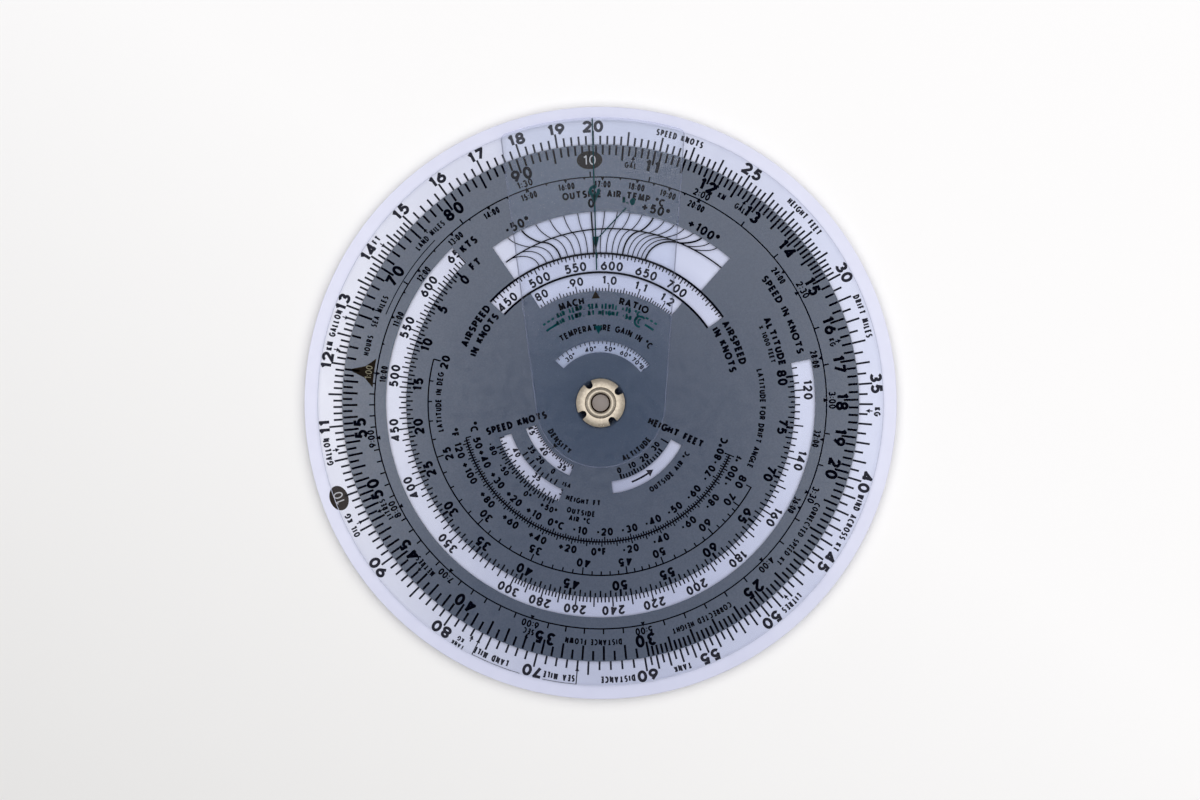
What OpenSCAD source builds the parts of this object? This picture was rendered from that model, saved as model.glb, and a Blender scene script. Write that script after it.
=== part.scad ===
// Circular flight computer: printed plastic discs and a clear cursor arm that turn on one hollow eyelet.
// The calculator side faces +Z, and +Y is the base disc's top mark. Angles run clockwise from +Y.

/* [Base disc] */
// Diameter of the base disc
base_d = 152.4; // [140:0.1:170]
// Thickness of the base disc
base_t = 0.9; // [0.6:0.05:2]
// Edge break on the rims of all the discs
edge_break = 0.1; // [0.02:0.02:0.14]

/* [Calculator disc] */
// Bare rim of the base disc outside the clear disc
rim_w = 3.3; // [1:0.1:6]
// Thickness of the clear disc
calculator_t = 0.5; // [0.3:0.05:1]
// Clear border outside the grey print
border_w = 6.4; // [2:0.1:8]
// Thickness of the grey print
print_t = 0.06; // [0.03:0.01:0.1]
// Anticlockwise turn of the calculator disc at rest
calculator_turn = 2.6; // [-180:0.1:180]

/* [Windows at the top of the print] */
// Inner radius of the Mach window
mach_r = 28.8; // [24:0.1:31]
// Height of the Mach window
mach_h = 4.6; // [3:0.1:5]
// Angles that the Mach window spans
mach_span = [-30, 41.7]; // [-60:0.1:60]
// Width of the lines between the three stacked windows
line_w = 0.4; // [0.2:0.05:0.8]
// Height of the true airspeed window
true_speed_h = 4.4; // [3:0.1:5]
// Angles that the true airspeed window spans
true_speed_span = [-44.9, 57.6]; // [-60:0.1:60]
// Radius of the arc that ends the temperature window
temperature_r = 49.2; // [46:0.1:52]
// Sideways shift of that arc's centre
temperature_shift = 1; // [0:0.1:2]
// Angles that the temperature window spans
temperature_span = [-32.2, 44.4]; // [-60:0.1:60]
// Inner radius of the temperature rise window
rise_r = 13; // [10:0.1:15]
// Height of the temperature rise window
rise_h = 2.9; // [2:0.1:4]
// Angles that the temperature rise window spans
rise_span = [-44.4, 55.1]; // [-60:0.1:60]

/* [Windows round the rest of the print] */
// Inner radius of the long calibrated airspeed window
airspeed_r = 50; // [48:0.1:54]
// Height of the long calibrated airspeed window
airspeed_h = 5.15; // [3:0.05:6]
// Angles that the long calibrated airspeed window spans
airspeed_span = [80.8, 318.9]; // [70:0.1:330]
// Inner radius of the altitude window
altitude_r = 20.4; // [17:0.1:26]
// Height of the altitude window
altitude_h = 3.1; // [2:0.1:5]
// Angles that the altitude window spans
altitude_span = [120.1, 174.8]; // [100:0.1:190]
// Inner radius of the density altitude window
density_r = 17.5; // [15:0.1:19]
// Height of the density altitude window
density_h = 2.8; // [2:0.1:4]
// Width of the grey band between the two windows at the lower left
band_w = 4; // [2:0.1:6]
// Height of the outer window at the lower left
low_speed_h = 3.2; // [2:0.1:5]
// Angles that both windows at the lower left span
low_speed_span = [205.8, 253.6]; // [195:0.1:265]

/* [Cursor arm] */
// Thickness of the cursor arm
cursor_t = 0.5; // [0.3:0.05:1]
// Radius of the cursor's round hub end
cursor_hub_r = 16.7; // [12:0.1:24]
// Angle by which each side of the cursor flares
cursor_flare = 5.75; // [0:0.05:10]
// Distance of the cursor's tip from the base disc's edge
tip_gap = 2.8; // [0.5:0.1:10]
// Radius of the cursor's tip corners
tip_corner_r = 1.8; // [0.5:0.1:6]
// Anticlockwise turn of the cursor at rest
cursor_turn = 1.7; // [-180:0.1:180]

/* [Wind side] */
// Width of the base disc's scale ring outside the wind disc
wind_ring_w = 9.7; // [6:0.1:14]
// Thickness of the wind disc
wind_t = 0.5; // [0.3:0.05:1]
// Width of the wind disc's scale ring outside the compass disc
compass_ring_w = 10.5; // [6:0.1:16]
// Thickness of the compass disc
compass_t = 0.5; // [0.3:0.05:1]

/* [Eyelet] */
// Bore of the eyelet
eyelet_bore_d = 4.3; // [3:0.1:6]
// Wall of the eyelet
eyelet_wall = 0.45; // [0.3:0.05:0.6]
// Radius of the roll's section
roll_r = 0.95; // [0.7:0.05:1.5]
// Diameter of the rear flange
flange_d = 10; // [8:0.1:16]
// Thickness of the rear flange
flange_t = 0.45; // [0.3:0.05:0.8]

/* [Washers] */
// Diameter of the notched spring washer
spring_d = 12.5; // [11:0.1:16]
// Thickness of the spring washer
spring_t = 0.35; // [0.2:0.05:0.5]
// Rise of the spring washer from its rim to its centre
spring_rise = 0.45; // [0.2:0.05:1]
// Width of the flat land outside the roll
land_w = 0.15; // [0.05:0.05:0.4]
// Number of notches
notch_count = 4; // [3:1:6]
// Width of a notch at its round end
notch_w = 1.8; // [1:0.1:2.2]
// Width of a notch at its mouth
notch_mouth_w = 2.1; // [1:0.1:2.6]
// Depth of a notch
notch_depth = 1.8; // [1:0.1:2]
// Clockwise angle of the first notch
notch_turn = 57; // [0:1:90]
// Width of the slip washers' rings
slip_w = 1.6; // [1:0.1:1.8]

/* [Clearances] */
// Radial running clearance between the eyelet's barrel and the sheets
running_gap = 0.05; // [0.02:0.01:0.1]
// Free height between neighbouring sheets
sheet_gap = 0.1; // [0.08:0.01:0.3]
// Axial clearance on each side of a slip washer
play = 0.02; // [0.01:0.005:0.03]
// Clearance of the print's centre hole round its slip washer
print_gap = 0.1; // [0.05:0.05:0.5]

/* [Hidden] */
$fn = 180;
// Angle between the points of the cursor's outline
arc_step = 2.5;

white = [0.88, 0.89, 0.96];
grey = [0.36, 0.39, 0.42];
clear = [0.8, 0.86, 0.92, 0.35];
nickel = [0.78, 0.74, 0.66];
film = [0.93, 0.93, 0.9];

base_r = base_d / 2;
calculator_r = base_r - rim_w;
print_r = calculator_r - border_w;
wind_r = base_r - wind_ring_w;
compass_r = wind_r - compass_ring_w;
tip_r = base_r - tip_gap;

true_speed_r = mach_r + mach_h + line_w;
temperature_foot_r = true_speed_r + true_speed_h + line_w;
low_speed_r = density_r + density_h + band_w;

eyelet_bore_r = eyelet_bore_d / 2;
barrel_r = eyelet_bore_r + eyelet_wall;
hole_r = barrel_r + running_gap;
slip_r = hole_r + slip_w;
roll_edge_r = eyelet_bore_r + 2 * roll_r;
land_r = roll_edge_r + land_w;
spring_r = spring_d / 2;

// Heights of the stack, from the rear flange up
compass_z = flange_t + sheet_gap;
wind_z = compass_z + compass_t + sheet_gap;
base_z = wind_z + wind_t + sheet_gap;
calculator_z = base_z + base_t + sheet_gap;
print_z = calculator_z + calculator_t;
cursor_z = print_z + print_t + sheet_gap;
spring_z = cursor_z + cursor_t + play;
land_z = spring_z + spring_rise + spring_t;

// Unit vector at a clockwise angle from +Y
function toward(angle) = [sin(angle), cos(angle)];

// Points along an arc between two clockwise angles
function arc(centre, r, from, to) =
  let (steps = ceil((to - from) / arc_step))
    [for (i = [0 : steps]) centre + r * toward(from + i * (to - from) / steps)];

// Punched disc with broken edges and the eyelet's hole
module sheet_disc(r, t) {
  rotate_extrude()
    polygon([
      [hole_r, 0], [r - edge_break, 0], [r, edge_break],
      [r, t - edge_break], [r - edge_break, t], [hole_r, t]
    ]);
}

// Flat sector from the centre past radius r, between the two angles of span
module fan(r, span) {
  steps = ceil((span[1] - span[0]) / 45);
  turn = (span[1] - span[0]) / steps;
  rim = [for (i = [0 : steps]) 2 * r * toward(span[0] + i * turn)];
  polygon(concat([[0, 0]], rim));
}

// Ring-shaped window of height h from radius r
module window(r, h, span) {
  intersection() {
    difference() {
      circle(r + h);
      circle(r);
    }
    fan(r + h, span);
  }
}

// Temperature window, whose outer edge is an arc about a shifted centre
module temperature_window() {
  intersection() {
    difference() {
      translate([temperature_shift, 0]) circle(temperature_r);
      circle(temperature_foot_r);
    }
    fan(temperature_r + temperature_shift, temperature_span);
  }
}

// All the windows of the grey print
module windows() {
  window(mach_r, mach_h, mach_span);
  window(true_speed_r, true_speed_h, true_speed_span);
  temperature_window();
  window(rise_r, rise_h, rise_span);
  window(airspeed_r, airspeed_h, airspeed_span);
  window(altitude_r, altitude_h, altitude_span);
  window(density_r, density_h, low_speed_span);
  window(low_speed_r, low_speed_h, low_speed_span);
}

// Outline of the cursor: a round hub, flaring tangent sides, round tip corners and a tip arc about the eyelet
module cursor_outline() {
  corner_c = tip_r - tip_corner_r;
  corner_turn = cursor_flare + asin((cursor_hub_r - tip_corner_r) / corner_c);
  side_turn = 90 + cursor_flare;
  corner = corner_c * toward(corner_turn);
  polygon(concat(
    arc([0, 0], tip_r, -corner_turn, corner_turn),
    arc(corner, tip_corner_r, corner_turn, side_turn),
    arc([0, 0], cursor_hub_r, side_turn, 360 - side_turn),
    arc([-corner.x, corner.y], tip_corner_r, -side_turn, -corner_turn)
  ));
}

// Thin ring on the barrel that fills the gap above height z
module slip_washer(z, gap) {
  color(film)
    translate([0, 0, z + play])
      linear_extrude(gap - 2 * play)
        difference() {
          circle(slip_r);
          circle(hole_r);
        }
}

module base_disc() {
  color(white)
    translate([0, 0, base_z])
      sheet_disc(base_r, base_t);
}

module calculator_disc() {
  color(clear)
    translate([0, 0, calculator_z])
      sheet_disc(calculator_r, calculator_t);
}

module calculator_print() {
  color(grey)
    translate([0, 0, print_z])
      rotate(calculator_turn)
        linear_extrude(print_t)
          difference() {
            circle(print_r);
            circle(slip_r + print_gap);
            windows();
          }
}

module cursor_arm() {
  color(clear)
    translate([0, 0, cursor_z])
      rotate(cursor_turn)
        linear_extrude(cursor_t)
          difference() {
            cursor_outline();
            circle(hole_r);
          }
}

module wind_disc() {
  color(white)
    translate([0, 0, wind_z])
      sheet_disc(wind_r, wind_t);
}

module compass_disc() {
  color(clear)
    translate([0, 0, compass_z])
      sheet_disc(compass_r, compass_t);
}

// Hollow rivet: rear flange with a round edge, barrel, and front end rolled outward onto the spring washer
module eyelet() {
  color(nickel)
    rotate_extrude() {
      translate([eyelet_bore_r, 0]) square([eyelet_wall, land_z]);
      translate([eyelet_bore_r, 0]) square([(flange_d - flange_t) / 2 - eyelet_bore_r, flange_t]);
      translate([(flange_d - flange_t) / 2, flange_t / 2]) circle(flange_t / 2);
      translate([eyelet_bore_r + roll_r, land_z])
        intersection() {
          difference() {
            circle(roll_r);
            circle(roll_r - eyelet_wall);
          }
          translate([-roll_r, 0]) square([2 * roll_r, roll_r]);
        }
    }
}

// Domed washer: a flat land under the roll, a skirt that curves down to the rim, and notches in the rim
module spring_washer() {
  skirt_w = spring_r - land_r;
  skirt_r = (skirt_w * skirt_w + spring_rise * spring_rise) / (2 * spring_rise);
  notch_c = spring_r - notch_depth + notch_w / 2;
  color(nickel)
    translate([0, 0, spring_z])
      difference() {
        rotate_extrude() {
          translate([hole_r, spring_rise]) square([land_r - hole_r, spring_t]);
          intersection() {
            translate([land_r, spring_rise - skirt_r])
              difference() {
                circle(skirt_r + spring_t);
                circle(skirt_r);
              }
            translate([land_r, 0]) square([skirt_w, spring_rise + spring_t]);
          }
        }
        for (i = [0 : notch_count - 1])
          rotate(-notch_turn - i * 360 / notch_count)
            linear_extrude(spring_rise + spring_t) {
              translate([0, notch_c]) circle(notch_w / 2);
              polygon([
                [-notch_w / 2, notch_c], [notch_w / 2, notch_c],
                [notch_mouth_w / 2, spring_r], [notch_mouth_w / 2, spring_d],
                [-notch_mouth_w / 2, spring_d], [-notch_mouth_w / 2, spring_r]
              ]);
            }
      }
}

module calculator_slip_washer() {
  slip_washer(base_z + base_t, sheet_gap);
}

module cursor_slip_washer() {
  slip_washer(print_z, print_t + sheet_gap);
}

module wind_slip_washer() {
  slip_washer(wind_z + wind_t, sheet_gap);
}

module compass_slip_washer() {
  slip_washer(compass_z + compass_t, sheet_gap);
}

module flange_slip_washer() {
  slip_washer(flange_t, sheet_gap);
}

base_disc();
calculator_disc();
calculator_print();
cursor_arm();
wind_disc();
compass_disc();
eyelet();
spring_washer();
calculator_slip_washer();
cursor_slip_washer();
wind_slip_washer();
compass_slip_washer();
flange_slip_washer();
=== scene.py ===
# Looks of a circular flight computer: printed scales on white, grey and clear plastic round a metal eyelet.
# Plan lengths are in millimetres, and angles run clockwise from +Y with the part at rest.
from math import ceil, cos, degrees, hypot, log10, pi, radians, sin, sqrt

import bmesh
import bpy
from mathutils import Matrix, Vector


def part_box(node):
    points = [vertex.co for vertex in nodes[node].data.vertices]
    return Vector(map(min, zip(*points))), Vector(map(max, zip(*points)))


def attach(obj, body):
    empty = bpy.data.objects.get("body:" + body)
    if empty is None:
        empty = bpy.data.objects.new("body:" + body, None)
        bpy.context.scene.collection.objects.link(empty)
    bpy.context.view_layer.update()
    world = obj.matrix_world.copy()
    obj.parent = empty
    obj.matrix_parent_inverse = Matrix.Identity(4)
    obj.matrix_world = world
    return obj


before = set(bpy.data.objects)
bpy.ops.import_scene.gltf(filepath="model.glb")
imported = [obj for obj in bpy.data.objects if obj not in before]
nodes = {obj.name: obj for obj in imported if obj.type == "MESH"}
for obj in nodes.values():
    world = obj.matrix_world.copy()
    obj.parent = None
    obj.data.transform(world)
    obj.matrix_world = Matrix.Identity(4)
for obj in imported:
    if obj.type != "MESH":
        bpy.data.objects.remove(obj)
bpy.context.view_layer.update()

MM = 0.001


def low(node):
    """Lowest height of a node."""
    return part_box(node)[0].z / MM


def high(node):
    """Greatest height of a node."""
    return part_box(node)[1].z / MM


def rim(node):
    """Outer radius of a round node."""
    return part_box(node)[1].x / MM


# Plan geometry. A path is cut where the cosine of its turn is under SHARP_COSINE,
# and both runs reach past the cut by CUT_REACH of their width
SHARP_COSINE = -0.2
CUT_REACH = 0.4


def polar(r, angle):
    """Plan point at radius r and a clockwise angle from +Y."""
    return r * sin(radians(angle)), r * cos(radians(angle))


def heading(a, b):
    """Unit vector from plan point a to b."""
    length = hypot(b[0] - a[0], b[1] - a[1])
    return (b[0] - a[0]) / length, (b[1] - a[1]) / length


def turn_cosine(a, b, c):
    """Cosine of the turn that a path makes at b."""
    u, v = heading(a, b), heading(b, c)
    return u[0] * v[0] + u[1] * v[1]


def parted(path, reach):
    """Cuts a path at its sharp corners, and lets both runs reach a little past each cut."""
    runs, run = [], [path[0]]
    for a, b, c in zip(path, path[1:], path[2:]):
        if turn_cosine(a, b, c) > SHARP_COSINE:
            run.append(b)
            continue
        u, v = heading(a, b), heading(b, c)
        runs.append(run + [(b[0] + u[0] * reach, b[1] + u[1] * reach)])
        run = [(b[0] - v[0] * reach, b[1] - v[1] * reach)]
    return runs + [run + [path[-1]]]


def sides(path, width, closed):
    """The two edges of a ribbon of even width along a path, with mitred corners."""
    left, right = [], []
    last = len(path) - 1
    for i, here in enumerate(path):
        before = path[i - 1] if i or closed else None
        after = path[(i + 1) % len(path)] if i < last or closed else None
        u = heading(before, here) if before else heading(here, after)
        v = heading(here, after) if after else u
        reach = width / (1 + u[0] * v[0] + u[1] * v[1])
        offset = (-(u[1] + v[1]) / 2 * reach, (u[0] + v[0]) / 2 * reach)
        left.append((here[0] + offset[0], here[1] + offset[1]))
        right.append((here[0] - offset[0], here[1] - offset[1]))
    return left, right


# Ink: its least thickness, and the small steps between prisms. A second layer starts at INK_TOP
INK = 0.012
INK_STEP = 0.002
INK_LEVELS = 4
INK_TOP = INK + INK_STEP * INK_LEVELS


class Print:
    """A layer of ink: thin closed prisms on a face that looks up or down, read from above or from below."""

    def __init__(self, face, facing=1, below=False):
        self.face = face
        self.facing = facing
        self.side = -1 if below else 1
        self.points = []
        self.faces = []
        self.count = 0

    def prism(self, plan, caps, walls):
        """Adds a prism over plan points, with the given cap faces and wall edges."""
        first, size = len(self.points), len(plan)
        # Neighbouring prisms differ a little in height, so that crossing strokes share no plane
        self.count += 1
        top = self.face + self.facing * (INK + INK_STEP * (self.count % INK_LEVELS))
        for z in (self.face, top):
            self.points += [(self.side * x * MM, y * MM, z * MM) for x, y in plan]
        for cap in caps:
            self.faces.append([first + i for i in cap])
            self.faces.append([first + size + i for i in reversed(cap)])
        self.faces += [(first + a, first + b, first + size + b, first + size + a) for a, b in walls]

    def plate(self, outline):
        """Adds a filled outline."""
        size = len(outline)
        self.prism(outline, [range(size)], [(i, (i + 1) % size) for i in range(size)])

    def stroke(self, path, width, closed=False):
        """Adds a line of even width."""
        for run in [path] if closed else parted(path, CUT_REACH * width):
            left, right = sides(run, width, closed)
            size = len(run)
            steps = [(i, (i + 1) % size) for i in range(size if closed else size - 1)]
            walls = steps + [(size + b, size + a) for a, b in steps]
            if not closed:
                walls += [(size, 0), (size - 1, 2 * size - 1)]
            self.prism(left + right, [(a, b, size + b, size + a) for a, b in steps], walls)

    def piece(self, name, body, material):
        """Makes the layer's object and lets it ride on a body."""
        mesh = bpy.data.meshes.new(name)
        mesh.from_pydata(self.points, [], self.faces)
        work = bmesh.new()
        work.from_mesh(mesh)
        bmesh.ops.recalc_face_normals(work, faces=work.faces)
        work.to_mesh(mesh)
        work.free()
        piece = bpy.data.objects.new(name, mesh)
        bpy.context.scene.collection.objects.link(piece)
        piece.data.materials.append(material)
        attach(piece, body)


# Lettering: each glyph is its width and its strokes, on a grid where a capital is 6 high.
# M starts a stroke, L draws a line, A draws an arc (centre, radii, start and end angle), Z closes the stroke.
CAP = 6
GLYPHS = {
    " ": (1.6, ""),
    "0": (3.6, "A 1.8 3 1.8 3 0 345 Z"),
    "1": (1.7, "M 0.1 4.9 L 1.5 6 L 1.5 0"),
    "2": (3.5, "A 1.7 4.25 1.7 1.75 170 -45 L 0 0 L 3.6 0"),
    "3": (3.5, "A 1.7 4.5 1.45 1.5 155 -90 M 1.7 3 A 1.7 1.5 1.75 1.5 90 -155"),
    "4": (4.0, "M 2.9 0 L 2.9 6 L 0 1.5 L 4 1.5"),
    "5": (3.5, "M 3.2 6 L 0.9 6 L 0.5 3.3 A 1.7 1.95 1.8 1.95 130 -150"),
    "6": (3.6, "M 2.7 6 L 0.33 2.95 M 3.6 1.85 A 1.8 1.85 1.8 1.85 0 345 Z"),
    "7": (3.5, "M 0 6 L 3.5 6 L 1 0"),
    "8": (3.5, "A 1.75 4.5 1.45 1.5 0 345 Z A 1.75 1.5 1.75 1.5 0 345 Z"),
    "9": (3.6, "M 0.9 0 L 3.27 3.05 M 3.6 4.15 A 1.8 4.15 1.8 1.85 0 345 Z"),
    "A": (4.0, "M 0 0 L 2 6 L 4 0 M 0.7 2 L 3.3 2"),
    "C": (3.9, "A 2.6 3 2.6 3 55 305"),
    "D": (3.8, "M 0 0 L 0 6 L 1.2 6 A 1.2 3 2.6 3 85 -85 L 1.2 0 Z"),
    "E": (2.7, "M 2.7 6 L 0 6 L 0 0 L 2.7 0 M 0 3.1 L 2.4 3.1"),
    "F": (2.6, "M 2.6 6 L 0 6 L 0 0 M 0 3.1 L 2.3 3.1"),
    "G": (4.4, "A 2.6 3 2.6 3 50 355 L 2.8 2.75"),
    "H": (3.4, "M 0 0 L 0 6 M 3.4 0 L 3.4 6 M 0 3.1 L 3.4 3.1"),
    "I": (0.2, "M 0.1 0 L 0.1 6"),
    "K": (3.3, "M 0 0 L 0 6 M 3.1 6 L 0 2.6 M 1.1 3.7 L 3.3 0"),
    "L": (2.5, "M 0 6 L 0 0 L 2.5 0"),
    "M": (4.8, "M 0 0 L 0.7 6 L 2.4 1 L 4.1 6 L 4.8 0"),
    "N": (3.6, "M 0 0 L 0 6 L 3.6 0 L 3.6 6"),
    "O": (5.0, "A 2.5 3 2.5 3 0 345 Z"),
    "P": (3.0, "M 0 0 L 0 6 L 1.4 6 A 1.4 4.4 1.6 1.6 85 -85 L 0 2.8"),
    "R": (3.1, "M 0 0 L 0 6 L 1.4 6 A 1.4 4.4 1.6 1.6 85 -85 L 0 2.8 M 1.4 2.8 L 3.1 0"),
    "S": (2.9, "A 1.45 4.5 1.35 1.5 40 265 A 1.45 1.5 1.45 1.5 85 -145"),
    "T": (4.2, "M 0 6 L 4.2 6 M 2.1 6 L 2.1 0"),
    "U": (3.3, "M 0 6 L 0 1.7 A 1.65 1.65 1.65 1.65 180 360 L 3.3 6"),
    "V": (3.7, "M 0 6 L 1.85 0 L 3.7 6"),
    "W": (5.4, "M 0 6 L 1.3 0 L 2.7 5.4 L 4.1 0 L 5.4 6"),
    "X": (3.4, "M 0 0 L 3.4 6 M 0 6 L 3.4 0"),
    "Y": (3.6, "M 0 6 L 1.8 3 L 3.6 6 M 1.8 3 L 1.8 0"),
    "°": (1.5, "A 0.75 5.2 0.75 0.8 0 330 Z"),
    "+": (4.4, "M 0 2.8 L 4.4 2.8 M 2.2 0.6 L 2.2 5"),
    "-": (2.2, "M 0 2.8 L 2.2 2.8"),
    ".": (0.3, "M 0.15 -0.4 L 0.15 0.8"),
    ":": (0.1, "M 0.05 0.5 L 0.05 1.4 M 0.05 3.5 L 0.05 4.4"),
}
GLYPH_ARC_STEP = 15
GLYPH_JOIN = 0.2


def strokes(glyph):
    """The strokes of a glyph, each with a word on whether it is closed."""
    words = GLYPHS[glyph][1].split()
    found, path = [], []
    while words:
        command = words.pop(0)
        if command == "Z":
            found.append((path, True))
            path = []
            continue
        if command == "M" and path:
            found.append((path, False))
            path = []
        values = [float(words.pop(0)) for _ in range(6 if command == "A" else 2)]
        if command != "A":
            path.append(tuple(values))
            continue
        x, y, rx, ry, start, end = values
        count = ceil(abs(end - start) / GLYPH_ARC_STEP)
        turns = [radians(start + (end - start) * i / count) for i in range(count + 1)]
        arc = [(x + rx * cos(t), y + ry * sin(t)) for t in turns]
        goes_on = path and hypot(path[-1][0] - arc[0][0], path[-1][1] - arc[0][1]) < GLYPH_JOIN
        path += arc[1:] if goes_on else arc
    return found + ([(path, False)] if path else [])


# Stroke weights and the gap between letters, as shares of a capital's height
HAIR = 0.12
LIGHT = 0.22
PLAIN = 0.24
WEIGHT = 0.25
FIRM = 0.26
BOLD = 0.27
GAP = 0.13


def write(ink, text, place, size, weight=WEIGHT, squeeze=1, gap=GAP, astride=False):
    """Writes text with capitals of a size. place maps x from the text's middle, and y from its foot,
    to a plan point. Text that stands astride has its x measured from its first gap."""
    width = weight * size
    unit = (size - width) / CAP
    advances = [GLYPHS[glyph][0] * unit * squeeze + width for glyph in text]
    x = width / 2 - (sum(advances) + gap * size * (len(text) - 1)) / 2
    if astride:
        x = width / 2 - advances[0] - gap * size / 2
    for glyph, advance in zip(text, advances):
        for path, closed in strokes(glyph):
            ink.stroke([place(x + a * unit * squeeze, width / 2 + b * unit) for a, b in path], width, closed)
        x += advance + gap * size


def ring(r, angle, inward=False):
    """Place for a line of text on a circle of radius r, with its tops outward or inward."""
    way = -1 if inward else 1
    return lambda x, y: polar(r + way * y, angle + way * degrees(x / r))


def ray(r, angle, way):
    """Place for a line of text along a ray, read outward with a way of 1 and inward with -1."""
    across_painted_light = polar(1, angle + 90)
    foot = polar(1, angle)

    def place(x, y):
        along = r + way * x
        return foot[0] * along - way * y * across_painted_light[0], foot[1] * along - way * y * across_painted_light[1]
    return place


# Marks. An arc line has its points at most ARC_STEP degrees apart
ARC_STEP = 2.5
ARROW_HEAD = 0.6
ARROW_HEAD_W = 1.1
ARROW_SHAFT_W = 0.3
BADGE_POINTS = 36
TEN_H = 2.5


def tick(ink, angle, start, end, width):
    """Straight line on a ray, between two radii."""
    ink.stroke([polar(start, angle), polar(end, angle)], width)


def line(ink, r, start, end, width):
    """Arc line about the centre, closed where it goes all the way round."""
    closed = end - start >= 360
    count = ceil((end - start) / ARC_STEP)
    path = [polar(r, start + (end - start) * i / count) for i in range(count if closed else count + 1)]
    ink.stroke(path, width, closed)


def curl(ink, centre, r, start, step, count, width):
    """Part of a small circle about a plan point, from a start angle by steps."""
    circle = [polar(r, start + step * i) for i in range(count)]
    ink.stroke([(centre[0] + x, centre[1] + y) for x, y in circle], width)


def pointer(ink, angle, tip, foot, width):
    """Filled triangle on a ray."""
    half = degrees(width / 2 / foot)
    ink.plate([polar(tip, angle), polar(foot, angle + half), polar(foot, angle - half)])


def arrow(ink, angle, tip, foot):
    """Arrow on a ray."""
    neck = tip + ARROW_HEAD * (foot - tip)
    tick(ink, angle, neck, foot, ARROW_SHAFT_W)
    pointer(ink, angle, tip, neck, ARROW_HEAD_W)


def ten_badge(ellipse, figure, r, angle, length, height):
    """Filled ellipse, longer along the circle than across it, with the scale's 10 on it."""
    place = ring(r, angle)
    turns = [2 * pi * i / BADGE_POINTS for i in range(BADGE_POINTS)]
    ellipse.plate([place(length / 2 * cos(t), height / 2 * sin(t)) for t in turns])
    write(figure, "10", ring(r - TEN_H / 2, angle), TEN_H, weight=HAIR, gap=0.22)


def steps(start, stop, step, *counts):
    """Values from start up to stop, each with its rank: how many of the counts divide its place."""
    for i in range(round((stop - start) / step)):
        yield start + i * step, sum(i % count == 0 for count in counts)


def graduate(ink, values, turn, foot, ends, width):
    """Ticks at values, from a foot radius to the end radius of each value's rank."""
    for value, rank in values:
        tick(ink, turn(value), foot, ends[rank], width)


def number(ink, values, turn, r, size, form="{:g}", inward=False, **style):
    """Numbers on a circle at values."""
    for value in values:
        write(ink, form.format(value), ring(r, turn(value), inward), size, **style)


def log_turn(start):
    """Angle of a value on a circular logarithmic scale whose 10 is at a start angle."""
    return lambda value: start + 360 * log10(value / 10)


# The decade's steps get wider as the scale gets closer: start, stop, step, and the count to a long tick
DECADE = ((10, 15, 0.1, 5), (15, 30, 0.2, 5), (30, 60, 0.5, 2), (60, 100, 1, 5))
DECADE_NUMBERS = (*range(11, 21), *range(25, 60, 5), *range(60, 100, 10))


def decade(ink, turn, foot, ends, width):
    """Ticks of a whole logarithmic scale."""
    for stretch in DECADE:
        graduate(ink, steps(*stretch), turn, foot, ends, width)


# Angles at rest of the base disc's 10, the calculator disc's 10 and the cursor's hairline
BASE_TEN = 250
INDEX = -2.6
HAIRLINE = -1.7
PRINT_R = rim("calculator_print")

# Layers of ink
base_ink = Print(high("base_disc"))
base_brown = Print(high("base_disc"))
base_pale = Print(high("base_disc") + INK_TOP)
disc_ink = Print(high("calculator_print"))
disc_brown = Print(high("calculator_print"))
disc_pale = Print(high("calculator_print") + INK_TOP)
disc_tan = Print(high("calculator_print") + INK_TOP)
sheet_ink = Print(high("calculator_disc"))
cursor_ink = Print(low("cursor_arm"), -1)
# Painted shade under the spring washer, and a painted shadow round it
cursor_painted_shade = Print(low("cursor_arm"), -1)
base_rear = Print(low("base_disc"), -1, True)
wind_rear = Print(low("wind_disc"), -1, True)
compass_rear = Print(low("compass_disc"), -1, True)


# Outer scale of the base disc: words, arrows, and brackets with an arrow at one end, by angle
RIM_WORD_R = 70.35
RIM_ARROW = (68.2, 70)
RIM_ARROWS = (91.7, 136.3, 208.7, 243.6, 259.9, 281.4, 288.5, 305.9)
RIM_WORDS = (
    ("SPEED KNOTS", 16.7), ("HEIGHT FEET", 47.6), ("DRIFT MILES", 71.7), ("KG", 91.8),
    ("WIND ACROSS KT", 115.8), ("LITRES", 136.3), ("TANK", 162.7), ("DISTANCE", 176.4),
    ("SEA MILE", 188.7), ("LAND MILE", 203.4), ("OIL KG", 243.7), ("GALLON", 259.8),
    ("KM", 281.9), ("GALLON", 286.7), ("FT", 306),
)
BRACKETS = ((185, 191.9, 185), (196.7, 207.1, 207.1))
BRACKET_R = 72.7
BRACKET_W = 0.28


def outer_scale():
    turn = log_turn(BASE_TEN)
    decade(base_ink, turn, foot=PRINT_R - 0.4, ends=(68.75, 70.05), width=0.52)
    number(base_ink, DECADE_NUMBERS, turn, r=69.6, size=3.1, squeeze=1.2, astride=True)
    ten_badge(base_brown, base_pale, 71.6, BASE_TEN, length=6.5, height=4.8)
    for text, angle in RIM_WORDS:
        write(base_ink, text, ring(RIM_WORD_R, angle), size=1.75, squeeze=0.68)
    for text, r in (("TANK", 71.6), ("KG", 70)):
        write(base_ink, text, ring(r, 210.6), size=1.3, squeeze=0.75)
    for angle in RIM_ARROWS:
        arrow(base_ink, angle, *RIM_ARROW)
    for start, end, angle in BRACKETS:
        line(base_ink, BRACKET_R, start, end, BRACKET_W)
        tick(base_ink, angle, BRACKET_R + 0.1, 69.6, BRACKET_W)
        arrow(base_ink, angle, *RIM_ARROW)


# Scales of the base disc that show through the windows. A turn function gives the angle of a scale's value
def airspeed_turn(speed):
    return -506.1 + 282.5 * log10(speed) + 0.04224 * speed


def true_speed_turn(speed):
    return 4.7 + 0.3 * (speed - 600) - 0.00011 * (speed - 600) ** 2


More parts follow.
